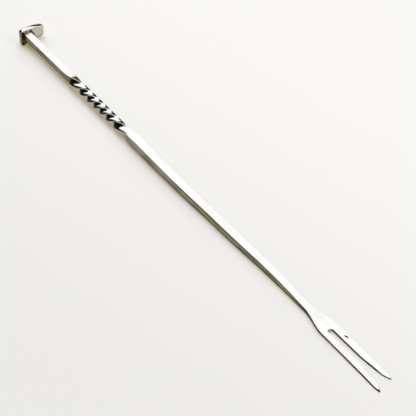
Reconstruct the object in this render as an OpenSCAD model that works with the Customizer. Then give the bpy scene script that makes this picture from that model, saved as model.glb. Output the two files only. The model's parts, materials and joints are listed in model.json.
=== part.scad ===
// Hand-forged flesh fork, a two-tined kitchen fork for lifting boiled meat out of a pot.
// It is built up from four forgings: a flat two-tined blade and a twisted handle bar, both scarf-welded
// to a square stem, and a wedge-shaped head plate held on the end of the handle by a peened tenon.
// The fork lies on a table, on the foot of its plate's tall side and the tips of its tines.
// X runs from head to tines, Y across and Z up. The origin is on the table, at the middle of the outline.

/* [Head plate] */
// Reach of the plate from the bar's axis to the top of its tall side, along -Y
plate_tall_reach = 5.7; // [5:0.1:10]
// Reach of the plate from the bar's axis to the foot of its tall side, along -Y
plate_foot_reach = 4.7; // [4.5:0.1:10]
// Reach of the plate from the bar's axis to its short side, along +Y
plate_short_reach = 16.8; // [11:0.1:24]
// Depth of the tall side's foot below the bar's axis
plate_below = 9.6; // [7:0.1:14]
// Depth of the short side's foot below the bar's axis
plate_short_below = 6.5; // [4.5:0.1:7]
// Height of the plate's tall side above the bar's axis
plate_tall_above = 6.3; // [5.8:0.1:12]
// Height of the plate's short side above the bar's axis
plate_short_above = 3; // [1.5:0.1:5.5]
// Rise of the plate's arched top edge above a straight one
plate_crown = 1; // [0.4:0.1:2]
// Thickness of the plate
plate_t = 3.5; // [2.4:0.1:6]
// Radius of the corners of the plate's tall side
plate_corner_r = 1.6; // [0.4:0.1:3]
// Radius of the corners of the plate's short side
plate_short_r = 2.6; // [0.4:0.1:3]
// Depth of the square recess that houses the end of the handle bar
housing_depth = 0.9; // [0.4:0.1:1.2]
// Gap all round between the handle bar and its recess
housing_gap = 0.12; // [0.06:0.01:0.3]

/* [Handle bar] */
// Side of the square handle bar
handle_w = 6.6; // [5.5:0.1:7.8]
// Width of the broken edge along the handle bar
handle_edge = 0.5; // [0.2:0.05:0.9]
// Length of the plain neck, from the head plate to the twist
neck_len = 58; // [30:1:90]
// Length of the twisted grip
twist_len = 101; // [70:1:140]
// Quarter turns in the twist, left-handed
twist_quarters = 7; // [3:1:10]
// How slowly the twist gathers pace at its upper end, where 1 makes both ends alike
twist_lag = 1.06; // [1:0.01:1.3]
// Length over which the handle bar swells to the stem's section
swell_len = 18; // [14:1:26]
// How much of that length is inside the twist
swell_lap = 12; // [0:1:12]
// Side of the square tenon that passes through the head plate
tenon_w = 4.2; // [3:0.1:5]
// Gap all round between the tenon and its hole
tenon_gap = 0.05; // [0.02:0.01:0.15]
// Diameter of the tenon's peened head
peen_d = 7.4; // [6.8:0.1:9]
// Height of the tenon's peened head
peen_h = 0.8; // [0.4:0.1:1.6]

/* [Stem] */
// Side of the square stem at its upper end
stem_w = 8.2; // [6.6:0.1:10]
// Side of the square shank where the blade starts to flare
shank_w = 6.7; // [5.5:0.1:8]
// Width of the broken edge along the stem
stem_edge = 0.6; // [0.2:0.05:1]
// Length of the stem between the middles of its two scarf welds
stem_len = 155; // [80:1:240]
// Length of each scarf weld
scarf_len = 22; // [14:1:30]
// Sideways bow left in the bar by the hammer
bow = 1.2; // [0:0.1:3]
// Length of the bowed stretch, up to the root of the tines
bow_len = 144; // [100:1:200]
// Sideways bow the other way, between the grip and the bowed stretch
sway = 0.8; // [0:0.1:2]

/* [Blade] */
// Length over which the bar is hammered flat
flatten_len = 87; // [60:1:110]
// Length over which the blade flares on its +Y side
flare_len = 34; // [20:1:50]
// How much later the flare starts on the -Y side
flare_lag = 5; // [0:1:8]
// Reach of the blade from the bar's axis at the root of the longer tine, along -Y
long_reach = 7.7; // [6.6:0.1:11]
// Reach of the blade from the bar's axis at the root of the shorter tine, along +Y
short_reach = 8.7; // [7.5:0.1:11]
// Thickness of the blade at the root of the tines
blade_t = 1.9; // [1.6:0.1:3.5]
// Width of the slot between the tines
slot_w = 4.5; // [3:0.1:5.2]
// Sideways shift of the slot towards -Y
slot_shift = 0.1; // [0:0.1:1]
// Radius in the corners at the root of the slot
slot_corner_r = 0.9; // [0.3:0.1:1.2]
// Length of the tine on the -Y side
long_tine_len = 75; // [50:1:100]
// Length of the tine on the +Y side
short_tine_len = 69; // [45:1:95]
// Outward sweep of the longer tine at its tip
long_sweep = 1.5; // [0:0.1:3]
// Length of the ground point on each tine
point_len = 33; // [20:1:40]
// How much narrower grinding leaves the tine on its inner side, not counting the nose
point_taper = 2.9; // [1:0.1:3.5]
// Length of the rounded nose on each tine
nose_len = 9; // [4:0.5:14]
// How far the middle of each tip lies inside the line of the tine's outer edge
tip_in = 1.3; // [0.6:0.1:2]
// Width of each tine at its tip
tip_w = 0.8; // [0.6:0.1:1.2]
// Thickness of each tine at its tip
tip_t = 1; // [0.8:0.1:1.6]

/* [Hidden] */
$fn = 48;
steel = [0.80, 0.80, 0.78];
plate_steel = [0.68, 0.67, 0.62];

// Stations along the bar, from the inner face of the head plate at x = 0
twist_x = neck_len;
twist_end_x = twist_x + twist_len;
swell_x = twist_end_x - swell_lap;
stem_x = swell_x + swell_len;
upper_scarf_x = stem_x + scarf_len / 2;
lower_scarf_x = upper_scarf_x + stem_len;
flatten_x = lower_scarf_x + scarf_len / 2;
root_x = flatten_x + flatten_len;
flare_x = root_x - flare_len;
long_tip_x = root_x + long_tine_len;
short_tip_x = root_x + short_tine_len;

// Spacing of the sections along the bar, and the finest turn between sections of the twist
section_step = 4;
tine_step = 1.5;
turn_step = 7.5;
arc_step = 15;
point_steps = 24;
// The blade thins slowly at first and then faster, as this power of the length hammered flat
flatten_power = 1.5;
// Powers of the length that shape the longer tine's sweep, the ground taper and the nose
sweep_power = 1.5;
taper_power = 1.2;
nose_power = 1.7;
// The plate's top edge is arched over the middle part of its length, in so many steps
crown_share = 0.7;
crown_steps = 8;
// A broken edge takes at most this share of the bar's thickness
edge_share = 0.25;
// Room for a cutter to pass clear of what it cuts
clear = 2;
// Side of the block that stands for everything beyond a scarf weld
beyond = 2 * long_tip_x;

// Corners of the plate's outline, across and up, and the radius of each
plate_corners = [
  [-plate_foot_reach, -plate_below],
  [plate_short_reach, -plate_short_below],
  [plate_short_reach, plate_short_above],
  [-plate_tall_reach, plate_tall_above]
];
plate_radii = [plate_corner_r, plate_short_r, plate_short_r, plate_corner_r];

// Lying on the table, the fork slopes from its plate's lowest point down to its tips
plate_low = max([for (i = [0, 1]) plate_radii[i] - corner_middle(i)[1]]);
lie = atan((plate_low - tip_t / 2) / long_tip_x);
lift = plate_low * cos(lie);
mid_x = cos(lie) * (long_tip_x - plate_t - peen_h) / 2;
long_side = max([for (x = stations(root_x, long_tip_x, tine_step)) long_edge(x)]);
mid_y = (max(plate_short_reach, short_reach) - max(plate_tall_reach, plate_foot_reach, long_side)) / 2;

function ease(t) = t <= 0 ? 0 : t >= 1 ? 1 : t * t * (3 - 2 * t);
function mix(a, b, t) = a + (b - a) * t;
function reversed(points) = [for (i = [len(points) - 1:-1:0]) points[i]];
// Share of the way along a tine, from 0 at its root to 1 at the longer tine's tip
function along_tine(x) = max(0, (x - root_x) / long_tine_len);

// Side of the square bar, before any flattening
function bar_w(x) = x < stem_x
  ? mix(handle_w, stem_w, ease((x - swell_x) / swell_len))
  : mix(stem_w, shank_w, min(1, (x - stem_x) / (flare_x - stem_x)));

// Rounding of a tine's nose, from 0 where it starts to 1 at the tip
function nose(x, tip_x) = pow(min(1, max(0, 1 - (tip_x - x) / nose_len)), nose_power);

// Lines of the fork's outer edges in plan, as reaches from the bar's middle to either side
function long_line(x) = let (flare = (x - flare_x - flare_lag) / (flare_len - flare_lag))
  mix(bar_w(x) / 2, long_reach, ease(flare)) + long_sweep * pow(along_tine(x), sweep_power);
function short_line(x) = mix(bar_w(x) / 2, short_reach, ease((x - flare_x) / flare_len));

// The outer edges themselves, which leave those lines at the noses of the tines
function long_edge(x) = long_line(x) - (tip_in - tip_w / 2) * nose(x, long_tip_x);
function short_edge(x) = short_line(x) - (tip_in - tip_w / 2) * nose(x, short_tip_x);

// Thickness from top to underside
function thick(x) = x < flatten_x
  ? bar_w(x)
  : x < root_x
    ? mix(bar_w(flatten_x), blade_t, pow((x - flatten_x) / flatten_len, flatten_power))
    : mix(blade_t, tip_t, along_tine(x));

// Width of the broken edge
function edge(x) = min(
  mix(handle_edge, stem_edge, ease((x - swell_x) / swell_len)),
  edge_share * thick(x)
);

// One smooth sideways bow of the given height between two places
function bowed(x, from, to, height) = x > from && x < to
  ? height * pow(sin(180 * (x - from) / (to - from)), 2)
  : 0;

// Sideways place of the bar's middle
function mid_line(x) =
  bowed(x, root_x - bow_len, root_x, bow) - bowed(x, twist_end_x, root_x - bow_len, sway);

// Turn of the bar still to come: the twist starts and ends gently and is tightest near its middle
function turn(x) = let (t = pow(min(1, max(0, (x - twist_x) / twist_len)), twist_lag))
  90 * twist_quarters * (1 - sin(180 * t - 90)) / 2;

// Where the twist has turned by a share of its whole angle
function twist_at(share) = twist_x + twist_len * pow((1 + asin(2 * share - 1) / 90) / 2, 1 / twist_lag);

// A square or flat section with broken edges, turned about the bar's axis
function section(x) = let (
    low = -long_edge(x),
    high = short_edge(x),
    b = thick(x) / 2,
    e = edge(x),
    q = turn(x),
    corners = [
      [high - e, b], [high, b - e], [high, e - b], [high - e, -b],
      [low + e, -b], [low, e - b], [low, b - e], [low + e, b]
    ]
  )
  [for (p = corners) [
    x,
    mid_line(x) + p[0] * cos(q) - p[1] * sin(q),
    p[0] * sin(q) + p[1] * cos(q)
  ]];

// Stations from one place to another, no further apart than the step
function stations(from, to, step = section_step) = let (count = ceil((to - from) / step))
  [for (i = [0:count]) mix(from, to, i / count)];

// A solid bar through the sections at the given stations
module forged_bar(at) {
  sections = [for (x = at) section(x)];
  sides = len(sections[0]);
  last = len(sections) - 1;
  faces = [
    [for (i = [sides - 1:-1:0]) i],
    [for (i = [0:sides - 1]) last * sides + i],
    for (k = [0:last - 1], i = [0:sides - 1])
      let (j = (i + 1) % sides)
        [k * sides + i, k * sides + j, (k + 1) * sides + j],
    for (k = [0:last - 1], i = [0:sides - 1])
      let (j = (i + 1) % sides)
        [k * sides + i, (k + 1) * sides + j, (k + 1) * sides + i]
  ];
  polyhedron([for (s = sections, p = s) p], faces);
}

// Everything past the slanted face of a scarf weld whose middle is at x
module past_scarf(x) {
  translate([x, 0, 0])
    rotate([0, atan(scarf_len / bar_w(x)), 0])
      translate([0, -beyond / 2, -beyond / 2])
        cube(beyond);
}

// Sets the fork down on the table
module laid_down() {
  translate([-mid_x, -mid_y, lift])
    rotate([0, lie, 0])
      children();
}

// Middle of a rounded corner of the plate
function corner_middle(i) = let (
    here = plate_corners[i],
    next = plate_corners[(i + 1) % 4] - here,
    back = plate_corners[(i + 3) % 4] - here,
    inward = next / norm(next) + back / norm(back),
    half_angle = acos(next * back / norm(next) / norm(back)) / 2
  )
  here + inward / norm(inward) * plate_radii[i] / sin(half_angle);

// Outline of the wedge-shaped plate, across the bar and up
module plate_outline() {
  hull() {
    for (i = [0:3])
      translate(corner_middle(i))
        circle(plate_radii[i]);
    polygon([
      for (i = [0:crown_steps])
        let (t = 0.5 + crown_share * (i / crown_steps - 0.5))
          mix(plate_corners[2], plate_corners[3], t) + [0, 4 * plate_crown * t * (1 - t)]
    ]);
  }
}

// Turns a shape drawn across and up into one standing square across the bar, from x = 0 back by its depth
module across_bar(depth) {
  translate([-depth, 0, 0])
    rotate([90, 0, 90])
      linear_extrude(depth)
        children();
}

// Wedge-shaped plate with a square hole for the tenon, recessed for the end of the handle bar
module head_plate() {
  recess_w = handle_w + 2 * housing_gap;
  hole_w = tenon_w + 2 * tenon_gap;
  color(plate_steel)
    laid_down()
      difference() {
        across_bar(plate_t)
          plate_outline();
        translate([-housing_depth, -recess_w / 2, -recess_w / 2])
          cube([clear, recess_w, recess_w]);
        translate([-plate_t - clear, -hole_w / 2, -hole_w / 2])
          cube([plate_t + 2 * clear, hole_w, hole_w]);
      }
}

// Low dome that the end of the tenon is hammered into, standing on the back of the plate
module peened_head() {
  dome_r = (peen_d * peen_d / 4 + peen_h * peen_h) / (2 * peen_h);
  translate([-plate_t, 0, 0])
    rotate([0, -90, 0])
      intersection() {
        translate([0, 0, peen_h - dome_r])
          sphere(dome_r);
        cylinder(h = peen_h + clear, d = peen_d + clear);
      }
}

// Square bar with a plain neck, a left-hand twist and a scarf at its lower end
module handle_bar() {
  turns = 90 * twist_quarters;
  at = concat(
    stations(-housing_depth, twist_x),
    [for (a = [turn_step:turn_step:turns - turn_step]) twist_at(a / turns)],
    stations(twist_end_x, upper_scarf_x + scarf_len)
  );
  color(steel)
    laid_down() {
      difference() {
        forged_bar(at);
        past_scarf(upper_scarf_x);
      }
      translate([-plate_t, -tenon_w / 2, -tenon_w / 2])
        cube([plate_t, tenon_w, tenon_w]);
      peened_head();
    }
}

// Plain square stem between the two scarf welds
module stem() {
  color(steel)
    laid_down()
      difference() {
        intersection() {
          forged_bar(stations(upper_scarf_x - scarf_len, lower_scarf_x + scarf_len));
          past_scarf(upper_scarf_x);
        }
        past_scarf(lower_scarf_x);
      }
}

// Ground inner edge of a tine, on the side of its sign: it leaves the slot and sweeps out to the tip
function ground_edge(side, tip_x, slot_reach, tip_reach) = [
  for (i = [0:point_steps])
    let (t = i / point_steps, x = tip_x - point_len * (1 - t))
      [x, side * mix(slot_reach + point_taper * pow(t, taper_power), tip_reach, nose(x, tip_x))]
];

// Rounded corner at the root of the slot, turned from one heading to another
function root_corner(side, from, to) = [
  for (a = [from:sign(to - from) * arc_step:to])
    [root_x + slot_corner_r * (1 + cos(a)), side + slot_corner_r * sin(a)]
];

// Plan of what is cut away between the tines, the corner past the shorter tip included
module slot_plan() {
  long_slot = slot_w / 2 + slot_shift;
  short_slot = slot_w / 2 - slot_shift;
  long_tip = long_line(long_tip_x) - tip_in - tip_w / 2;
  short_tip = short_line(short_tip_x) - tip_in - tip_w / 2;
  outside = long_reach + short_reach;
  polygon(concat(
    root_corner(slot_corner_r - long_slot, 270, 180),
    root_corner(short_slot - slot_corner_r, 180, 90),
    ground_edge(1, short_tip_x, short_slot, short_tip),
    [[short_tip_x, outside], [long_tip_x + clear, outside], [long_tip_x + clear, -long_tip]],
    reversed(ground_edge(-1, long_tip_x, long_slot, long_tip))
  ));
}

// Flat blade with two ground tines, drawn down from a square shank that is scarfed to the stem
module tine_blade() {
  at = concat(
    stations(lower_scarf_x - scarf_len, flatten_x),
    [for (x = stations(flatten_x, root_x)) if (x > flatten_x) x],
    [for (x = stations(root_x, long_tip_x, tine_step)) if (x > root_x) x]
  );
  color(steel)
    laid_down()
      difference() {
        intersection() {
          forged_bar(at);
          past_scarf(lower_scarf_x);
        }
        translate([0, 0, -stem_w / 2])
          linear_extrude(stem_w)
            slot_plan();
      }
}

head_plate();
handle_bar();
stem();
tine_blade();
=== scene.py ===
import json
import math

import bmesh
import bpy
from mathutils import Matrix, Vector, noise


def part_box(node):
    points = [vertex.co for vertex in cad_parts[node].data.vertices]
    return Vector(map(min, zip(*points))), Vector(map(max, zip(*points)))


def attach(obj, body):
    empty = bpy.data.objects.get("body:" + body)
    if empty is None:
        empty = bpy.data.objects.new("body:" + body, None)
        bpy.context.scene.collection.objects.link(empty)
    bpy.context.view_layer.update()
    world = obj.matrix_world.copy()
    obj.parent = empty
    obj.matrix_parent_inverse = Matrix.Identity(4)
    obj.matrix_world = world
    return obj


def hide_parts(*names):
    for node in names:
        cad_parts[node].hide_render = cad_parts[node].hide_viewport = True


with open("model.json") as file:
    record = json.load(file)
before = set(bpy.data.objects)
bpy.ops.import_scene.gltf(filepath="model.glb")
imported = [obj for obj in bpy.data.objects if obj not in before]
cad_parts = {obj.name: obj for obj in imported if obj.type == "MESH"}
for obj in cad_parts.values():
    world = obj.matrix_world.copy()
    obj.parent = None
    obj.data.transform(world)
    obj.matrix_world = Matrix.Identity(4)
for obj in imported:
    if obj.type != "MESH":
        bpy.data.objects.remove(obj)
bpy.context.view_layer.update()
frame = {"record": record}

# Tine blade
# The lower end of a square bar, hammered out flat and wide, split with a hot chisel and filed to two
# long points. Bright polished steel, scarf-welded to the stem above it, with its tips on the table.
stem_side = 0.0082
shank_side = 0.0067
stem_start = 0.165
flatten_start = 0.342
flare_start = 0.395
tine_root = 0.429
flatten_power = 1.5
blade_thick = 0.0019
tip_thick = 0.001
bar_edge_round = 0.0006
edge_share = 0.25
bow = 0.0012
sway = 0.0008
sway_start = 0.159
bow_start = 0.285

NEAR, FAR = -1, 1
blade_reach = {NEAR: 0.0077, FAR: 0.0087}
flare_lag = {NEAR: 0.005, FAR: 0.0}
tine_sweep = {NEAR: 0.0015, FAR: 0.0}
sweep_power = 1.5
tine_tip = {NEAR: 0.504, FAR: 0.498}
slot_reach = {NEAR: 0.00235, FAR: 0.00215}
slot_corner = 0.0009
slot_near_corner = 0.0026
slot_edge_round = 0.0003
point_length = 0.033
point_taper = 0.0029
taper_power = 1.2
nose_length = 0.009
nose_power = 1.7
tip_in = 0.0013
tip_width = 0.0008
tip_roll = 0.0022

lower_scarf = 0.331
scarf_length = 0.022

# The bar's own frame has x down the bar from the inner face of the head plate, y across and z up.
# The plate's foot lies on the table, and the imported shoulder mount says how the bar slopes.
plate_low = 0.009369
shoulder = next(m for m in frame["record"]["mounts"] if m["name"] == "hang_shoulder")
down_bar = Vector(shoulder["axis"])
across_bar = Vector((0, 1, 0))
up_bar = down_bar.cross(across_bar)
handle_low, handle_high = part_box("handle_bar")
bar_start = Vector((0, (handle_low.y + handle_high.y) / 2, plate_low * up_bar.z))
bar_start.x = (Vector(shoulder["pos_m"]) - bar_start).dot(down_bar) / down_bar.x
laid_down = Matrix((down_bar, across_bar, up_bar)).transposed().to_4x4()
laid_down.translation = bar_start


def between(a, b, t):
    return a + (b - a) * t


def rise(value, low, high):
    """Goes smoothly from 0 to 1 as the value goes from low to high, which may be the smaller."""
    t = min(1, max(0, (value - low) / (high - low)))
    return t * t * (3 - 2 * t)


def stations(start, end, step):
    """Even places from start to end, no further apart than step."""
    count = math.ceil((end - start) / step)
    return [between(start, end, i / count) for i in range(count + 1)]


def bar_side(x):
    """Side of the square bar below the grip, before any flattening."""
    return between(stem_side, shank_side, min(1, (x - stem_start) / (flare_start - stem_start)))


def blade_depth(x):
    """Thickness from top to underside."""
    if x < flatten_start:
        return bar_side(x)
    if x < tine_root:
        flat = ((x - flatten_start) / (tine_root - flatten_start)) ** flatten_power
        return between(bar_side(flatten_start), blade_thick, flat)
    return between(blade_thick, tip_thick, (x - tine_root) / (tine_tip[NEAR] - tine_root))


def edge_round(x):
    return min(bar_edge_round, edge_share * blade_depth(x))


def bowed(x):
    """Sideways bows that the hammer left in the bar, first to the near side and then to the far one."""
    for start, end, height in ((sway_start, bow_start, -sway), (bow_start, tine_root, bow)):
        if start < x < end:
            return height * math.sin(math.pi * (x - start) / (end - start)) ** 2
    return 0.0


def outer_line(side, x):
    """How far the blade's outer edge lies from the bar's middle, without the nose of the tine."""
    start = flare_start + flare_lag[side]
    flared = between(bar_side(x) / 2, blade_reach[side], rise(x, start, tine_root))
    down_tine = max(0, (x - tine_root) / (tine_tip[NEAR] - tine_root))
    return flared + tine_sweep[side] * down_tine**sweep_power


def nose(side, x):
    return max(0, 1 - (tine_tip[side] - x) / nose_length) ** nose_power


def outer_edge(side, x):
    """Where the blade's outer edge lies: a tine runs nearly straight and turns in at its nose."""
    return side * (outer_line(side, x) - (tip_in - tip_width / 2) * nose(side, x))


def inner_edge(side, x):
    """Where a tine's inner edge lies: it leaves the slot, is ground to a taper and rounds to the tip."""
    t = max(0, 1 - (tine_tip[side] - x) / point_length)
    ground = slot_reach[side] + point_taper * t**taper_power
    at_tip = outer_line(side, tine_tip[side]) - tip_in - tip_width / 2
    return side * between(ground, at_tip, nose(side, x))


class Skin:
    """The surface of one forging: rings of points round it, each joined to the next."""

    def __init__(self):
        self.mesh = bmesh.new()
        self.edge = self.mesh.verts.layers.float.new("edge")
        self.grain = self.mesh.verts.layers.float_vector.new("grain")
        # This layer picks the bright steel over the dark side steel, for polish and painted light at
        # once.
        self.polish_and_light = self.mesh.verts.layers.float.new("polish_and_light")

    def ring(self, spots, turn=0.0, shift=0.0):
        """Points of one ring. The grain keeps each point's place before the bar was twisted and bowed."""
        made = []
        for place, edge in spots:
            x, y, z = place
            turned_y = y * math.cos(turn) - z * math.sin(turn)
            turned_z = y * math.sin(turn) + z * math.cos(turn)
            point = self.mesh.verts.new((x, turned_y + shift, turned_z))
            point[self.edge] = edge
            point[self.grain] = place
            made.append(point)
        return made

    def join(self, ring, following, closed=True):
        for i in range(len(ring) if closed else len(ring) - 1):
            j = (i + 1) % len(ring)
            self.mesh.faces.new((ring[i], following[i], following[j], ring[j]))

    def close(self, ring):
        self.mesh.faces.new(ring)

    def planish(self, depth, spacing):
        """Leaves the shallow hollows of a planishing hammer."""
        bmesh.ops.recalc_face_normals(self.mesh, faces=self.mesh.faces[:])
        self.mesh.normal_update()
        for point in self.mesh.verts:
            point.co += point.normal * depth * noise.noise(point.co / spacing)

    def polish_and_light_top(self, least, most):
        """Makes what faces up bright, polish with painted light, from the least height of its normal to
        the most.
        """
        self.mesh.normal_update()
        for point in self.mesh.verts:
            point[self.polish_and_light] = rise(point.normal.z, least, most)

    def cut(self, x, side):
        """Cuts a scarf weld's slanted face with its middle at x, and keeps the side above or below."""
        facing = Vector((bar_side(x), 0, -scarf_length)).normalized() * side
        whole = self.mesh.verts[:] + self.mesh.edges[:] + self.mesh.faces[:]
        sliced = bmesh.ops.bisect_plane(
            self.mesh, geom=whole, plane_co=(x, 0, 0), plane_no=facing, clear_inner=True
        )
        cut_edges = [part for part in sliced["geom_cut"] if isinstance(part, bmesh.types.BMEdge)]
        bmesh.ops.holes_fill(self.mesh, edges=cut_edges)
        for line in cut_edges:
            line.smooth = False

    def piece(self, name, material):
        """Lays the forging on the table as a piece of the fork."""
        sharp = math.radians(40)
        bmesh.ops.recalc_face_normals(self.mesh, faces=self.mesh.faces[:])
        for line in self.mesh.edges:
            if line.calc_face_angle(0) > sharp:
                line.smooth = False
        for face in self.mesh.faces:
            face.smooth = True
        self.mesh.transform(laid_down)
        data = bpy.data.meshes.new(name)
        self.mesh.to_mesh(data)
        self.mesh.free()
        data.materials.append(material)
        made = bpy.data.objects.new(name, data)
        bpy.context.scene.collection.objects.link(made)
        return made


LOWER, UPPER = 1, -1
corner_steps = 4
wall_spread = (0.0, 0.06, 0.35, 0.65, 0.94, 1.0)
wall_end_wear = 0.5


def rim(depth, rounding):
    """A rounded edge, from the end of the top flat round to the end of the bottom flat.

    It gives how far out and up each point lies, and how much of an edge it is.
    """
    arc = [math.radians(90 * i / corner_steps) for i in range(1, corner_steps)]
    top = [(rounding * math.sin(a), depth / 2 - rounding * (1 - math.cos(a)), 1.0) for a in arc]
    wall_top = depth / 2 - rounding
    wall = [(rounding, between(wall_top, -wall_top, t), 0.0) for t in wall_spread]
    for end in (0, -1):
        wall[end] = (*wall[end][:2], wall_end_wear)
    return top + wall + [(out, -up, edge) for out, up, edge in reversed(top)]


def bar_ring(x, near, far, depth, rounding, spread):
    """A flat-sided section with rounded edges: top flat, far edge, bottom flat, near edge."""
    near_flat, far_flat = near + rounding, far - rounding
    top = [(x, between(near_flat, far_flat, t), depth / 2) for t in spread]
    bottom = [(x, y, -z) for x, y, z in reversed(top)]
    far_rim = [((x, far_flat + out, up), edge) for out, up, edge in rim(depth, rounding)]
    near_rim = [((x, near_flat - out, up), edge) for out, up, edge in reversed(rim(depth, rounding))]
    return [(p, 0.0) for p in top] + far_rim + [(p, 0.0) for p in bottom] + near_rim


# The blade's top and bottom are laid out in strips, which run down a tine or end at the slot
tine_strips = 16
support = 0.03
tine_spread = [0.0, support, *[i / tine_strips for i in range(1, tine_strips)], 1 - support, 1.0]
slot_corner_steps = 5
slot_end_steps = 3
root_x = tine_root + slot_corner


def slot_end():
    """Plan of the slot's rounded end, from near tine to far: each place and its way into the steel."""
    headings = [math.radians(90 * i / slot_corner_steps) for i in range(slot_corner_steps + 1)]
    near_middle = slot_near_corner - slot_reach[NEAR]
    far_middle = slot_reach[FAR] - slot_corner
    near = []
    for a in headings:
        place = (root_x - slot_corner * math.sin(a), near_middle - slot_near_corner * math.cos(a))
        way = Vector((-slot_near_corner * math.sin(a), -slot_corner * math.cos(a))).normalized()
        near.append((place, way))
    far = []
    for a in headings:
        way = Vector((-math.cos(a), math.sin(a)))
        far.append(((root_x + slot_corner * way.x, far_middle + slot_corner * way.y), way))
    steps = [i / slot_end_steps for i in range(1, slot_end_steps)]
    flat = [((tine_root, between(near_middle, far_middle, t)), Vector((-1, 0))) for t in steps]
    return near + flat + far


slot_plan = slot_end()
root_rounding = edge_round(root_x)
root_top = []
for t in tine_spread:
    outer = outer_edge(NEAR, root_x) + root_rounding
    root_top.append((root_x, between(outer, -slot_reach[NEAR] - slot_edge_round, t)))
for (x, y), (dx, dy) in slot_plan[1:-1]:
    root_top.append((x + dx * slot_edge_round, y + dy * slot_edge_round))
for t in reversed(tine_spread):
    outer = outer_edge(FAR, root_x) - root_rounding
    root_top.append((root_x, between(outer, slot_reach[FAR] + slot_edge_round, t)))
blade_spread = [(y - root_top[0][1]) / (root_top[-1][1] - root_top[0][1]) for _, y in root_top]


def blade_ring(x):
    """Section of the blade above the slot."""
    near, far = outer_edge(NEAR, x), outer_edge(FAR, x)
    return bar_ring(x, near, far, blade_depth(x), edge_round(x), blade_spread)


blade_skin = Skin()
shank_step = 0.001
root_margin = 0.0008
rings = []
for x in stations(lower_scarf - scarf_length, tine_root - slot_edge_round - root_margin, shank_step):
    rings.append(blade_skin.ring(blade_ring(x), shift=bowed(x)))
root_spots = blade_ring(root_x)
top_count = len(root_top)
rim_count = len(rim(blade_thick, root_rounding))
for i, (x, y) in enumerate(root_top):
    root_spots[i] = ((x, y, blade_depth(root_x) / 2), 0.0)
    root_spots[2 * top_count + rim_count - 1 - i] = ((x, y, -blade_depth(root_x) / 2), 0.0)
rings.append(blade_skin.ring(root_spots))
for ring, following in zip(rings, rings[1:]):
    blade_skin.join(ring, following)
blade_skin.close(rings[0])
root_ring = rings[-1]
root_tops = root_ring[:top_count]
root_far_rim = root_ring[top_count:top_count + rim_count]
root_bottoms = root_ring[top_count + rim_count:2 * top_count + rim_count]
root_near_rim = root_ring[2 * top_count + rim_count:]

# The wall round the end of the slot stands in columns, from the blade's top to its underside
slot_columns = []
tine_points = len(tine_spread)
for i, ((x, y), (dx, dy)) in enumerate(slot_plan):
    spots = []
    for out, up, edge in rim(blade_depth(root_x), slot_edge_round):
        reach = slot_edge_round - out
        spots.append(((x + dx * reach, y + dy * reach, up), edge))
    top = root_tops[tine_points - 1 + i]
    bottom = root_bottoms[top_count - tine_points - i]
    slot_columns.append([top, *blade_skin.ring(spots), bottom])
for column, following in zip(slot_columns, slot_columns[1:]):
    blade_skin.join(column, following, closed=False)


def tine_ring(side, x):
    """Section of one tine: top from its outer edge inwards, inner edge, underside, outer edge."""
    to_tip = (tine_tip[side] - x) / tip_roll
    roll = math.sqrt(max(0, 1 - (1 - to_tip) ** 2)) if to_tip < 1 else 1.0
    middle = (outer_edge(side, x) + inner_edge(side, x)) / 2
    outer = between(middle, outer_edge(side, x), roll)
    inner = between(middle, inner_edge(side, x), roll)
    depth = blade_depth(x) * roll
    width = abs(outer - inner)
    outer_round = min(edge_round(x), width * edge_share, depth * edge_share)
    inner_round = min(slot_edge_round, width * edge_share, depth * edge_share)
    flat_outer = outer - side * outer_round
    flat_inner = inner + side * inner_round
    top = [((x, between(flat_outer, flat_inner, t), depth / 2), 0.0) for t in tine_spread]
    bottom = [((x, y, -z), edge) for (x, y, z), edge in reversed(top)]
    inner_rim = [((x, flat_inner - side * out, up), edge) for out, up, edge in rim(depth, inner_round)]
    outer_rim = [((x, flat_outer + side * out, up), edge) for out, up, edge in rim(depth, outer_round)]
    return top + inner_rim + bottom + outer_rim[::-1]


tine_step = 0.0005
tip_rings = 8
tine_roots = {
    NEAR: root_tops[:tine_points] + slot_columns[0][1:-1] + root_bottoms[-tine_points:] + root_near_rim,
    FAR: (
        root_tops[: -tine_points - 1 : -1] + slot_columns[-1][1:-1]
        + root_bottoms[tine_points - 1 :: -1] + root_far_rim[::-1]
    ),
}
for side, ring in tine_roots.items():
    shaft = stations(root_x, tine_tip[side] - tip_roll, tine_step)[1:]
    quarter = [math.pi / 2 * i / tip_rings for i in range(1, tip_rings)]
    rolled = [tine_tip[side] - tip_roll * (1 - math.sin(a)) for a in quarter]
    for x in shaft + rolled:
        following = blade_skin.ring(tine_ring(side, x))
        blade_skin.join(ring, following)
        ring = following
    blade_skin.close(ring)

# A slag pit that the hammer left open in the top of the far tine
pit_start = Vector((0.4406, 0.0057))
pit_end = Vector((0.4442, 0.0066))
pit_half_width = 0.0007
pit_depth = 0.0004
pit_shallow_share = 0.35
pit_lip = (1.2, 0.2)


def pit(x, y):
    """Depth of the pit at a place on the blade: it is deepest towards the tip."""
    run = pit_end - pit_start
    away = Vector((x, y)) - pit_start
    t = min(1, max(0, away.dot(run) / run.length_squared))
    gap = (away - run * t).length / pit_half_width
    return pit_depth * between(pit_shallow_share, 1, t) * rise(gap, *pit_lip)


# Black on the walls of the tines and over their near edges, most at the near point, is painted shade with
# scale
dark_over_edge = (0.0001, 0.0005)
dark_widens = (0.44, 0.49)
dark_fade = 0.0003
far_dark_narrows = (0.480, 0.494)
far_dark_loss = 0.8
near_point_dark = 0.0006
near_point_starts = (tine_tip[NEAR] - 0.004, tine_tip[NEAR] - 0.002)


def near_edge(x, y):
    """Where the edge on the near side of the blade lies, or of the far tine beyond the slot."""
    return inner_edge(FAR, x) if x > root_x and y > 0 else outer_edge(NEAR, x)


def dark_reach(x, y):
    """How far the painted shade comes over the edge of the tine at a place on the blade."""
    reach = between(*dark_over_edge, rise(x, *dark_widens))
    if y > 0:
        return reach * (1 - far_dark_loss * rise(x, *far_dark_narrows))
    return reach + near_point_dark * rise(x, *near_point_starts)


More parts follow.
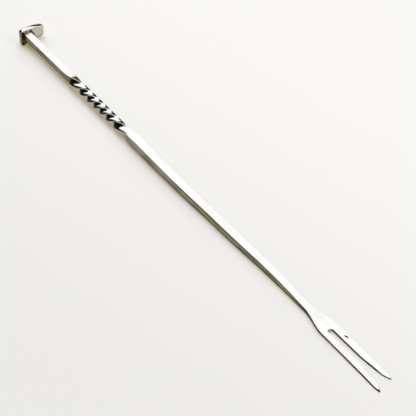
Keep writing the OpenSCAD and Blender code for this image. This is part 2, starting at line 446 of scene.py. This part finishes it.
hammer_depth = 0.00006
hammer_spacing = 0.011
bar_lit_polish = (0.60, 0.95)
blade_lit_polish = (0.60, 0.90)
slot_end_lit_polish = (0.0, 0.5)
blade_skin.planish(hammer_depth, hammer_spacing)
for point in blade_skin.mesh.verts:
    if point.co.z > 0:
        point.co.z -= pit(point.co.x, point.co.y)
# Faces that look up take the bright steel and the rest the dark side steel, polish with painted light and
# shade. The bright is taken off near the near edges, and the slot's end wall is made bright, a painted
# sheen.
blade_skin.polish_and_light_top(*bar_lit_polish)
for point in blade_skin.mesh.verts:
    x, y, _ = point.co
    if x > flare_start:
        bright_from = near_edge(x, y) + dark_reach(x, y)
        off_dark = rise(y, bright_from, bright_from + dark_fade)
        point[blade_skin.polish_and_light] = rise(point.normal.z, *blade_lit_polish) * off_dark
    if x < root_x and abs(y) < slot_reach[NEAR]:
        point[blade_skin.polish_and_light] = max(point[blade_skin.polish_and_light], rise(point.normal.x, *slot_end_lit_polish))
blade_skin.cut(lower_scarf, LOWER)


class Finish:
    """A value over a surface or the sky. Sums of these add Math nodes to its material or world."""

    def __init__(self, tree, socket=None):
        self.tree = tree
        self.socket = socket

    def node(self, kind, settings=(), sockets=(), out=0):
        """Any other node: its type, its settings, then the values or links of its sockets."""
        made = self.tree.nodes.new("ShaderNode" + kind)
        for name, value in dict(settings).items():
            setattr(made, name, value)
        for name, value in dict(sockets).items():
            if isinstance(value, Finish):
                self.tree.links.new(value.socket, made.inputs[name])
            else:
                made.inputs[name].default_value = value
        return Finish(self.tree, made.outputs[out])

    def feed(self, socket):
        self.tree.links.new(self.socket, socket)

    def maths(self, operation, *values):
        return self.node("Math", {"operation": operation}, enumerate(values))

    def __add__(self, other):
        return self.maths("ADD", self, other)

    def __radd__(self, other):
        return self.maths("ADD", other, self)

    def __sub__(self, other):
        return self.maths("SUBTRACT", self, other)

    def __rsub__(self, other):
        return self.maths("SUBTRACT", other, self)

    def __mul__(self, other):
        return self.maths("MULTIPLY", self, other)

    def __rmul__(self, other):
        return self.maths("MULTIPLY", other, self)

    def rise(self, low, high):
        """Goes smoothly from 0 to 1 as this value goes from low to high."""
        ends = {"Value": self, "From Min": low, "From Max": high}
        return self.node("MapRange", {"interpolation_type": "SMOOTHSTEP"}, ends)

    def larger(self, other):
        return self.maths("MAXIMUM", self, other)

    def size(self):
        """This value without its sign."""
        return self.maths("ABSOLUTE", self)

    def colour(self, low, high):
        """The first colour where this value is 0 and the second where it is 1."""
        return self.node("Mix", {"data_type": "RGBA"}, {0: self, 6: low, 7: high}, out=2)

    def parts(self):
        """This vector's three parts, as values of their own."""
        return [self.node("SeparateXYZ", (), {"Vector": self}, out=i) for i in range(3)]

    def facing(self, way):
        """How far this vector goes a given way."""
        return self.node("VectorMath", {"operation": "DOT_PRODUCT"}, {0: self, 1: way}, out="Value")

    def scaled(self, factors):
        """This vector, stretched by a factor along each axis."""
        return self.node("VectorMath", {"operation": "MULTIPLY"}, {0: self, 1: factors})

    def clouds(self, factors, detail=2.0):
        """Soft noise from 0 to 1 over this vector, with so many clouds a metre along each axis."""
        return self.node("TexNoise", (), {"Vector": self.scaled(factors), "Scale": 1.0, "Detail": detail})


# The tops take bright steel and the sides the filed and brown steels, which are lit and shaded copies of
# the steel as well as its finish. The amber and black colours serve stains, slag, scale and painted
# shade.
bright_steel = (0.54, 0.531, 0.464, 1)
worn_steel = (0.47, 0.461, 0.394, 1)
filed_and_shaded_steel = (0.30, 0.272, 0.185, 1)
brown_and_shaded_steel = (0.095, 0.068, 0.034, 1)
rubbed_edge = (0.56, 0.555, 0.50, 1)
amber_stain_and_shade = (0.17, 0.11, 0.05, 1)
black_stain_and_shade = (0.005, 0.004, 0.0025, 1)


def forged_steel(name, stain_and_shade, bright=bright_steel):
    """Steel polished on top and left browned from the file on its sides, with the stain and painted shade
    given; its bright tops and dark sides, picked by the polish_and_light attribute, are also painted
    light and shade.

    It has file marks down the bar, cloudy patches, fine pits and rubbed edges, and its sides are painted
    darker towards the bottom and in a band under the top edge of the stem, as painted shade.
    """
    material = bpy.data.materials.new(name)
    material.use_nodes = True
    shader = material.node_tree.nodes["Principled BSDF"]
    steel = Finish(material.node_tree)
    grain = steel.node("Attribute", {"attribute_name": "grain"}, out="Vector")
    edge = steel.node("Attribute", {"attribute_name": "edge"}, out="Fac")
    polish_and_light = steel.node("Attribute", {"attribute_name": "polish_and_light"}, out="Fac")
    file_marks = grain.clouds((45, 5200, 5200), 3.0)
    deep_marks = grain.clouds((18, 1500, 1500)).rise(0.60, 0.74)
    patches = grain.clouds((45, 130, 130), 3.0).rise(0.42, 0.70)
    dimples = grain.clouds((150, 150, 150))
    pits = grain.clouds((900, 900, 900)).rise(0.72, 0.80) * patches
    rubbed = edge * polish_and_light * grain.clouds((160, 400, 400), 3.0).rise(0.30, 0.60)
    stain_and_shade_amount = stain_and_shade(grain)
    wear = 0.55 * patches + 0.30 * deep_marks
    along, _, up = grain.parts()
    # On the sides: random brown streaks, browner down the stem, and painted shade, darker towards the
    # bottom and in a band under the top edge from the stem on.
    streaks = grain.clouds((50, 650, 650), 3.0).rise(0.40, 0.60)
    under_edge = up.rise(0.0010, 0.0026) * along.rise(0.165, 0.20)
    brown_and_shade = 0.60 * streaks + 0.34 * (1 - up.rise(-0.0036, 0.0)) + 0.30 * along.rise(0.20, 0.38)
    brown_and_shade = brown_and_shade + 0.35 * under_edge
    sides = (brown_and_shade + 0.25 * patches).rise(0, 1.1).colour(filed_and_shaded_steel, brown_and_shaded_steel)
    clean = polish_and_light.colour(sides, wear.colour(bright, worn_steel))
    clean = rubbed.colour(clean, rubbed_edge)
    dirt_and_shade = stain_and_shade_amount + 0.6 * pits
    rust_and_shade = dirt_and_shade.rise(0, 0.6).colour(clean, amber_stain_and_shade)
    dirt_and_shade.rise(0.45, 1).colour(rust_and_shade, black_stain_and_shade).feed(shader.inputs["Base Color"])
    roughness = 0.14 + 0.05 * file_marks + 0.07 * patches + 0.10 * deep_marks + 0.25 * pits
    (roughness + 0.20 * stain_and_shade_amount - 0.04 * polish_and_light).feed(shader.inputs["Roughness"])
    shader.inputs["Metallic"].default_value = 1.0
    relief = 1.2 * file_marks - 2.5 * deep_marks + 25 * dimples - 14 * pits
    micrometre = 1e-6
    bumps = relief.node("Bump", (), {"Height": relief, "Distance": micrometre}, out="Normal")
    bumps.feed(shader.inputs["Normal"])
    return material


def blade_slag_and_shade(grain):
    """Dark slag in the pit on the far tine, and painted shade in black on the walls of the tines, with
    scale.
    """
    run = pit_end - pit_start
    slant = run.angle_signed(Vector((1, 0)))
    middle = (pit_start + pit_end) / 2
    lined_up = grain.node(
        "VectorRotate", {"rotation_type": "Z_AXIS"},
        {"Vector": grain, "Center": (*middle, 0), "Angle": -slant},
    )
    pit_top = (*middle, blade_thick / 2)
    moved = lined_up.node("VectorMath", {"operation": "SUBTRACT"}, {0: lined_up, 1: pit_top})
    reach = moved.scaled((2 / run.length, 1 / pit_half_width, 1 / blade_thick))
    distance = reach.node("VectorMath", {"operation": "LENGTH"}, {0: reach}, out="Value")
    slag = 1 - (distance + 0.4 * grain.clouds((1800, 1800, 1800))).rise(1.05, 1.55)
    polish_and_light = grain.node("Attribute", {"attribute_name": "polish_and_light"}, out="Fac")
    walls = (1 - polish_and_light) * grain.parts()[0].rise(0.355, 0.415)
    return slag.larger(0.95 * walls)


blade = blade_skin.piece("polished_tine_blade", forged_steel("blade_steel", blade_slag_and_shade))
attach(blade, "root")
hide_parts("tine_blade")

# Stem
# The long plain run of square bar between the blade and the grip. It is drawn out under the hammer
# to taper a little, draw-filed along its length, and scarf-welded at both ends.
upper_scarf = 0.176
bar_step = 0.001
bar_spread = (0.0, 0.04, 0.2, 0.4, 0.6, 0.8, 0.96, 1.0)
stem_skin = Skin()
rings = []
for x in stations(upper_scarf - scarf_length, lower_scarf + scarf_length, bar_step):
    half = bar_side(x) / 2
    spots = bar_ring(x, -half, half, bar_side(x), bar_edge_round, bar_spread)
    rings.append(stem_skin.ring(spots, shift=bowed(x)))
for ring, following in zip(rings, rings[1:]):
    stem_skin.join(ring, following)
stem_skin.close(rings[0])
stem_skin.close(rings[-1])
stem_skin.planish(hammer_depth, hammer_spacing)
stem_skin.polish_and_light_top(*bar_lit_polish)
stem_skin.cut(upper_scarf, LOWER)
stem_skin.cut(lower_scarf, UPPER)


def stem_stain(grain):
    """A few faint brown freckles, left where fingers held the bar."""
    return 0.35 * grain.clouds((60, 240, 240), 4.0).rise(0.66, 0.82)


stem = stem_skin.piece("draw_filed_stem", forged_steel("stem_steel", stem_stain))
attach(stem, "root")
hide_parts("stem")

# Handle bar
# A lighter square bar with a plain neck and seven quarter turns of left-hand twist for the grip. Its
# end sits in a recess in the head plate, passes through as a square tenon and is peened over behind.
handle_side = 0.0066
handle_edge_round = 0.0005
twist_start = 0.058
twist_end = 0.159
swell_start = 0.147
quarter_turns = 7
twist_turn = math.radians(90 * quarter_turns)
twist_lag = 1.06
housing_depth = 0.0009
tenon_side = 0.0042
plate_thick = 0.0035
peen_radius = 0.0037
peen_height = 0.0008
neck_step = 0.001
twist_step = 0.0004


def handle_width(x):
    if x > stem_start:
        return bar_side(x)
    return between(handle_side, stem_side, rise(x, swell_start, stem_start))


def handle_edge(x):
    return between(handle_edge_round, bar_edge_round, rise(x, swell_start, stem_start))


def turned(x):
    """Turn still to come: the twist starts and ends gently and is tightest near its middle."""
    t = min(1, max(0, (x - twist_start) / (twist_end - twist_start))) ** twist_lag
    return twist_turn * (1 + math.cos(math.pi * t)) / 2


handle_skin = Skin()
rings = []
neck = stations(-housing_depth, twist_start, neck_step)
grip = stations(twist_start, twist_end, twist_step)[1:]
swell = stations(twist_end, upper_scarf + scarf_length, neck_step)[1:]
for x in neck + grip + swell:
    half = handle_width(x) / 2
    spots = bar_ring(x, -half, half, handle_width(x), handle_edge(x), bar_spread)
    rings.append(handle_skin.ring(spots, turn=turned(x), shift=bowed(x)))

# From the housed end the tenon goes back through the plate and spreads into a low, uneven dome
tenon_spots = bar_ring(0, -tenon_side / 2, tenon_side / 2, tenon_side, handle_edge_round / 2, bar_spread)
peen_rings = 7
peen_uneven = 0.07
peen_lumps = 1.7


def tenon_ring(x):
    return [((x, y, z), 0.0) for (_, y, z), _ in tenon_spots]


def peen_ring(x, radius):
    """A hammered round of the given radius, a little out of true."""
    spots = []
    for (_, y, z), _ in tenon_spots:
        heading = Vector((0, y, z)).normalized()
        uneven = radius * (1 + peen_uneven * noise.noise(heading * peen_lumps))
        spots.append(((x, heading.y * uneven, heading.z * uneven), 0.0))
    return spots


back = [tenon_ring(-housing_depth), tenon_ring(-plate_thick)]
for i in range(peen_rings):
    climb = math.pi / 2 * i / peen_rings
    radius = peen_radius * (1 - peen_uneven) * math.cos(climb)
    back.append(peen_ring(-plate_thick - peen_height * math.sin(climb), radius))
for spots in back:
    rings.insert(0, handle_skin.ring(spots, turn=twist_turn))
for ring, following in zip(rings, rings[1:]):
    handle_skin.join(ring, following)
handle_skin.close(rings[0])
handle_skin.close(rings[-1])
handle_skin.planish(hammer_depth, hammer_spacing)
grip_lit_polish = (0.30, 0.65)
handle_skin.polish_and_light_top(*grip_lit_polish)

# Black is painted on the twist's leaves where they lean well over to the near side and to the far side,
# a painted dark reflection, and beside the plate as painted shade with scale where no file reached.
# Leaves that face down on the near side take the bright steel, a painted sheen. A lean is in degrees from
# straight up, and positive towards the near side.
grip_fade = (0.004, 0.010)
near_leaf_start = (45, 32)
near_start_moves = (0.135, 0.150)
near_leaf_end = (76, 88)
near_end_moves = (0.070, 0.082)
start_fade = 6
end_fade = 8
far_leaf_start = (-13, -21)
far_leaf_end = (-84, -72)
near_root_share = 0.8
near_root_run = (0.009, 0.003)
near_root_side = (0.5, 0.8)
far_root_run = (0.011, 0.007)
far_root_side = (0.1, 0.4)
lower_sheen_from = (0.070, 0.076)
scale_and_shade = handle_skin.mesh.verts.layers.float.new("scale_and_shade")
for point in handle_skin.mesh.verts:
    x = point.co.x
    lean = math.degrees(math.atan2(-point.normal.y, point.normal.z))
    in_grip = rise(min(x - twist_start, twist_end - x), *grip_fade)
    from_lean = between(*near_leaf_start, rise(x, *near_start_moves))
    to_lean = between(*near_leaf_end, rise(x, *near_end_moves))
    near_leaf = rise(lean, from_lean, from_lean + start_fade) * rise(lean, to_lean, to_lean - end_fade)
    far_leaf = rise(lean, *far_leaf_start) * rise(lean, *far_leaf_end)
    near_root = near_root_share * rise(x, *near_root_run) * rise(-point.normal.y, *near_root_side)
    far_root = rise(x, *far_root_run) * rise(point.normal.y, *far_root_side)
    point[scale_and_shade] = max(in_grip * max(near_leaf, far_leaf), near_root, far_root)
    lower_sheen = in_grip * rise(x, *lower_sheen_from) * rise(lean, to_lean, to_lean + end_fade)
    point[handle_skin.polish_and_light] = max(point[handle_skin.polish_and_light], lower_sheen)
handle_skin.cut(upper_scarf, UPPER)


def handle_scale_and_shade(grain):
    """Painted shade with scale by the plate, a little grime in the grip, and the scale_and_shade
    attribute's black.
    """
    along = grain.parts()[0]
    broken = grain.clouds((500, 500, 500), 3.0)
    polish_and_light = grain.node("Attribute", {"attribute_name": "polish_and_light"}, out="Fac")
    by_plate = (1 - polish_and_light) * (1 - (along + 0.0012 * broken).rise(0.0002, 0.0016))
    freckles = 0.3 * grain.clouds((90, 260, 260), 4.0).rise(0.66, 0.82)
    black_scale_and_shade = grain.node("Attribute", {"attribute_name": "scale_and_shade"}, out="Fac")
    return by_plate.larger(freckles).larger(black_scale_and_shade)


handle = handle_skin.piece("twisted_handle_bar", forged_steel("handle_steel", handle_scale_and_shade))
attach(handle, "root")
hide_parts("handle_bar")

# Head plate
# A wedge-shaped plate cut from thick sheet, hammered flat, filed round its rim and slipped over the
# tenon. Polished and bright on the wide side of its face; the narrow side beside the bar is brown,
# painted shade with scale, and soot with painted shade darkens the corner round the bar.
plate_corners = (
    ((-0.0050, -0.0096), 0.0016),
    ((0.0168, -0.0065), 0.0026),
    ((0.0168, 0.0035), 0.0026),
    ((-0.0060, 0.0063), 0.0016),
)
SHORT_TOP, TALL_TOP = 2, 3
plate_crown = 0.0011
face_round = 0.0005
front_bevel_reach = (0.0020, 0.0016)
front_bevel_drop = (0.0003, 0.0002)
on_top_facing = (0.5, 0.8)
short_side = (0, 0.010)
back_bevel_least = 0.0004
back_bevel_on_top = (0.0003, 0.0014)
back_bevel_facing = (0.1, 0.5)
back_bevel_slope = 0.08
rim_step = 0.0008
corner_turn = math.radians(10)
recess_gap = 0.00012
recess_half = handle_side / 2 + recess_gap
hole_gap = 0.00005
hole_half = tenon_side / 2 + hole_gap
face_spread = (0.04, 0.14, 0.28, 0.42, 0.56, 0.70, 0.84, 0.96)
bevel_spread = (0.08, 0.5, 0.92)
bevel_wear = 0.4
plate_hammer_depth = 0.00008
plate_hammer_spacing = 0.006
plate_bright = (0.57, 0.56, 0.47, 1)


def plate_outline():
    """Points round the plate, across and up, with its round corners and its arched top."""
    arcs = []
    for i, (corner, rounding) in enumerate(plate_corners):
        here = Vector(corner)
        ahead = (Vector(plate_corners[(i + 1) % 4][0]) - here).normalized()
        behind = (here - Vector(plate_corners[i - 1][0])).normalized()
        swing = behind.angle(ahead)
        centre = here + (ahead - behind).normalized() * rounding / math.cos(swing / 2)
        way = Vector((behind.y, -behind.x)) * rounding
        count = math.ceil(swing / corner_turn)
        arcs.append([centre + Matrix.Rotation(swing * k / count, 2) @ way for k in range(count + 1)])
    points = []
    for i, arc in enumerate(arcs):
        points += arc
        leaving, entering = arc[-1], arcs[(i + 1) % 4][0]
        run = entering - leaving
        for gone in stations(0, run.length, rim_step)[1:-1]:
            t = gone / run.length
            arch = 4 * plate_crown * t * (1 - t) if i == SHORT_TOP else 0
            points.append(leaving + run * t + Vector((0, arch)))
    return points


def ways_out(points):
    """The way out of the plate at each point of its outline."""
    ways = []
    for i, _ in enumerate(points):
        run = points[(i + 1) % len(points)] - points[i - 1]
        ways.append(Vector((run.y, -run.x)).normalized())
    return ways


outline = plate_outline()
outward = ways_out(outline)
plate_width = plate_corners[SHORT_TOP][0][0] - plate_corners[TALL_TOP][0][0]


def front_bevel(i):
    """How far the rim is rounded off into the face, back and down: most along the top over the bar."""
    on_top = rise(outward[i].y, *on_top_facing)
    to_short_side = rise(outline[i].x, *short_side)
    reach = between(face_round, between(*front_bevel_reach, to_short_side), on_top)
    drop = between(face_round, between(*front_bevel_drop, to_short_side), on_top)
    return reach, drop, on_top


def back_bevel(i):
    """How far the bevel behind the rim reaches: widest along the top, towards the short side."""
    along_top = min(1, max(0, (outline[i].x - plate_corners[TALL_TOP][0][0]) / plate_width))
    on_top = rise(outward[i].y, *back_bevel_facing)
    return back_bevel_least + on_top * between(*back_bevel_on_top, along_top)


def front_ring(angle, edge):
    """A ring on the rounding in front of the rim, from the face at 0 to the rim at a right angle."""
    spots = []
    for i, (place, way) in enumerate(zip(outline, outward)):
        reach, drop, flat = front_bevel(i)
        t = angle / (math.pi / 2)
        back = reach * between(1 - math.cos(angle), t, flat)
        down = drop * between(1 - math.sin(angle), 1 - t, flat)
        spots.append(((-back, *(place - way * down)), edge))
    return spots


def bevel_ring(t, edge):
    """A ring on the bevel behind the rim, from its start at 0 to the back face at 1."""
    spots = []
    for i, (place, way) in enumerate(zip(outline, outward)):
        reach = back_bevel(i)
        depth = reach * (1 - t) - plate_thick
        spots.append(((depth, *(place - way * reach * back_bevel_slope * t)), edge))
    return spots


def square_ring(x, half_side):
    """A square hole's edge, with a point towards each point of the outline."""
    spots = []
    for place in outline:
        across, up = place * half_side / max(abs(place.x), abs(place.y))
        spots.append(((x, across, up), 0.0))
    return spots


def face_rings(outer, inner):
    """Rings across a face, from its rim to the hole at its middle."""
    made = []
    for t in face_spread:
        made.append([(tuple(Vector(a).lerp(Vector(b), t)), 0.0) for (a, _), (b, _) in zip(outer, inner)])
    return [outer, *made, inner]


rim_arc = [math.radians(90 * i / corner_steps) for i in range(corner_steps + 1)]
rim_wall = []
for t in wall_spread:
    spots = []
    for (start, edge), (end, _) in zip(front_ring(rim_arc[-1], 0.0), bevel_ring(0, 0.0)):
        spots.append((tuple(Vector(start).lerp(Vector(end), t)), edge))
    rim_wall.append(spots)
plate_skin = Skin()
plate_rings = [square_ring(-housing_depth, hole_half), square_ring(-housing_depth, recess_half)]
plate_rings += reversed(face_rings(front_ring(rim_arc[0], 0.0), square_ring(0, recess_half)))
plate_rings += [front_ring(a, 1.0) for a in rim_arc[1:-1]]
plate_rings += rim_wall
plate_rings += [bevel_ring(t, bevel_wear) for t in bevel_spread]
plate_rings += face_rings(bevel_ring(1, 0.0), square_ring(-plate_thick, hole_half))
rings = [plate_skin.ring(spots) for spots in plate_rings]
for ring, following in zip(rings, rings[1:] + rings[:1]):
    plate_skin.join(ring, following)
plate_skin.planish(plate_hammer_depth, plate_hammer_spacing)

# The face is bright on the wide side and the rim bright on top, filed and painted lit, and black is
# painted behind the rim and at the tall corner as a painted dark reflection.
face_lit_polish = (-0.001, 0.003)
rim_lit_polish = (0.25, 0.60)
dark_band = (0.0004, 0.0032)
dark_band_widens = (-0.001, 0.0125)
corner_dark_reach = (0.0024, 0.0012)
corner_dark_depth = (-0.0008, -0.0012)
tall_corner = Vector(plate_corners[TALL_TOP][0])
scale_and_shade = plate_skin.mesh.verts.layers.float.new("scale_and_shade")
plate_skin.mesh.normal_update()
for point in plate_skin.mesh.verts:
    depth, across, up = point.co
    facing_up = rise(point.normal.z, *rim_lit_polish)
    point[plate_skin.polish_and_light] = max(rise(across, *face_lit_polish), facing_up)
    band_front = between(*dark_band, rise(across, *dark_band_widens)) - plate_thick
    behind_rim = facing_up * rise(depth, band_front, band_front - dark_fade)
    from_corner = (Vector((across, up)) - tall_corner).length
    at_corner = rise(from_corner, *corner_dark_reach) * rise(depth, *corner_dark_depth)
    point[scale_and_shade] = max(behind_rim, at_corner)

# Painted shade: a dark spot at the bar's top corner, a dark run down the face from there, and a darker
# foot
dark_spot_place = (0, 0.0035, 0.0041)
run_start = Vector((0, recess_half, recess_half))
across_run = Vector((0, 0.843, 0.538))
foot_slope = 0.144
foot_drop = 0.0089


def plate_soot_and_shade(grain):
    """Soot and painted shade round the bar and down the face, brown blotches on the narrow side as
    painted shade with scale, and painted shade at the foot.
    """
    depth, across, up = grain.parts()
    from_axis = across.size().larger(up.size())
    ragged = grain.clouds((420, 420, 420), 4.0)
    on_face = depth.rise(-0.0006, -0.0002)
    corner = 0.8 * (1 - (from_axis + 0.0005 * ragged).rise(recess_half + 0.0002, recess_half + 0.0006))
    halo = 0.25 * (1 - (from_axis + 0.0024 * ragged).rise(recess_half + 0.0008, recess_half + 0.0030))
    off_dark_spot = grain.node("VectorMath", {"operation": "DISTANCE"}, {0: grain, 1: dark_spot_place}, out="Value")
    dark_spot = 1 - (off_dark_spot + 0.0006 * ragged).rise(0.0007, 0.0016)
    off_run = grain.facing(across_run) - across_run.dot(run_start) + 0.0005 * ragged
    beside_bar = across.rise(0.0028, 0.0034) * (1 - across.rise(0.0060, 0.0090))
    run = 0.8 * (1 - off_run.rise(0.0007, 0.0017)) * beside_bar
    soot_and_shade = corner.larger(halo).larger(dark_spot).larger(run)
    narrow_side = 1 - (across + 0.002 * ragged).rise(-0.0030, -0.0014)
    blotches = 0.15 + 0.75 * grain.clouds((560, 560, 560), 3.0).rise(0.45, 0.60)
    narrow_rim = 0.35 * (1 - across.rise(-0.0055, -0.0044)) * (1 - on_face)
    above_foot = up - foot_slope * across + foot_drop
    foot = 0.45 * (1 - above_foot.rise(0.0006, 0.0020))
    on_plate = on_face * soot_and_shade.larger(narrow_side * blotches).larger(foot)
    black_scale_and_shade = grain.node("Attribute", {"attribute_name": "scale_and_shade"}, out="Fac")
    return black_scale_and_shade.larger(on_plate + narrow_rim)


plate = plate_skin.piece("wedge_head_plate", forged_steel("plate_steel", plate_soot_and_shade, plate_bright))
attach(plate, "root")
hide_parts("head_plate")

# Floor
# A wide sheet of matt off-white paper that the fork lies on, painted darker towards the near left as a
# painted falloff of the light. To the camera and in reflections it glows a little, so that the fork's
# shadow stays light and warm.
floor_half = 20.0
floor_corners = [(x * floor_half, y * floor_half, 0) for x, y in ((-1, -1), (1, -1), (1, 1), (-1, 1))]
floor_data = bpy.data.meshes.new("paper_floor")
floor_data.from_pydata(floor_corners, [], [(0, 1, 2, 3)])
floor = bpy.data.objects.new("paper_floor", floor_data)
bpy.context.scene.collection.objects.link(floor)
paper_light = (0.97, 0.965, 0.95, 1)
paper_shaded = (0.853, 0.848, 0.832, 1)
glow_light = (1.0, 0.78, 0.34, 1)
glow_shaded = (0.86, 0.67, 0.28, 1)
glow_share = 0.26
falloff_way = Vector((-0.22, 0.975, 0))
falloff_half = 0.24
paper = bpy.data.materials.new("matt_paper")
paper.use_nodes = True
paper_shader = paper.node_tree.nodes["Principled BSDF"]
paper_shader.inputs["Roughness"].default_value = 0.95
paper_shader.inputs["Specular IOR Level"].default_value = 0.1
paper_place = Finish(paper.node_tree).node("TexCoord", out="Object")
mottle = 0.06 * paper_place.clouds((30, 30, 30), 3.0)
painted_falloff = (paper_place.facing(falloff_way) + falloff_half * mottle).rise(-falloff_half, falloff_half)
painted_falloff.colour(paper_shaded, paper_light).feed(paper_shader.inputs["Base Color"])
ray_kinds = ("Is Camera Ray", "Is Glossy Ray", "Is Transmission Ray")
seen = [paper_place.node("LightPath", out=kind) for kind in ray_kinds]
glow = paper_place.node("Emission", (), {"Color": painted_falloff.colour(glow_shaded, glow_light), "Strength": 1.0})
paper_glow_mix = glow.node("MixShader", (), {0: glow_share * (seen[0] + seen[1] + seen[2]), 2: glow})
paper.node_tree.links.new(paper_shader.outputs["BSDF"], paper_glow_mix.socket.node.inputs[1])
paper_glow_mix.feed(paper.node_tree.nodes["Material Output"].inputs["Surface"])
floor_data.materials.append(paper)

# Camera
# It looks down on the fork from its near side, from far enough off that the bar hardly narrows.
camera_azimuth = math.radians(54.886)
camera_elevation = math.radians(42)
camera_distance = 2.7404
camera_target = Vector((0.00809, 0.00175, 0))
field_of_view = math.radians(6.973)
towards_camera = Vector((
    math.sin(camera_azimuth) * math.cos(camera_elevation),
    -math.cos(camera_azimuth) * math.cos(camera_elevation),
    math.sin(camera_elevation),
))
camera = bpy.data.objects.new("camera", bpy.data.cameras.new("camera"))
bpy.context.scene.collection.objects.link(camera)
camera.data.lens_unit = "FOV"
camera.data.angle = field_of_view
camera.location = camera_target + towards_camera * camera_distance
camera.rotation_euler = towards_camera.to_track_quat("Z", "Y").to_euler()
bpy.context.scene.camera = camera

# Light
# A strip light stands across the fork beyond its head, where the polished tops mirror it, and a round
# soft light hangs overhead. A small soft lamp to the right fills in, and the rest of the room is dark.
image_right = Vector((math.cos(camera_azimuth), math.sin(camera_azimuth), 0))
image_away = Vector((-math.sin(camera_azimuth), math.cos(camera_azimuth), 0))
straight_up = Vector((0, 0, 1))
down_fork = Vector((1, 0, 0))
strip_place = -0.57
strip_half_width = (0.17, 0.24)
strip_lean = math.radians(25.5)
strip_way = Vector((0, math.cos(strip_lean), -math.sin(strip_lean)))
strip_half_length = (0.69, 0.75)
horizon_fade = (0, 0.1)
overhead_from = Vector((0, 0.02, 1)).normalized()
overhead_edge = (math.cos(math.radians(26)), math.cos(math.radians(21)))
strip_colour = (1.92, 1.95, 2.18, 1)
overhead_colour = (3.24, 3.67, 4.42, 1)
fill_from = (0.70 * image_right - 0.25 * image_away + 0.67 * straight_up).normalized()
fill_edge = (0.93, 0.98)
fill_colour = (1.90, 1.83, 1.68, 1)
room_colour = (0.012, 0.011, 0.009, 1)
world = bpy.data.worlds.new("soft_light")
bpy.context.scene.world = world
world.use_nodes = True
sky = Finish(world.node_tree).node("TexCoord", out="Generated")
off_strip = (sky.facing(down_fork) - strip_place).size()
past_end = sky.facing(strip_way).size()
in_strip = (1 - off_strip.rise(*strip_half_width)) * (1 - past_end.rise(*strip_half_length))
in_strip = in_strip * sky.facing(straight_up).rise(*horizon_fade)
overhead = sky.facing(overhead_from).rise(*overhead_edge)
room = sky.facing(fill_from).rise(*fill_edge).colour(room_colour, fill_colour)
lit = overhead.colour(in_strip.colour(room, strip_colour), overhead_colour)
lit.feed(world.node_tree.nodes["Background"].inputs["Color"])

bpy.context.scene.view_settings.view_transform = "Standard"
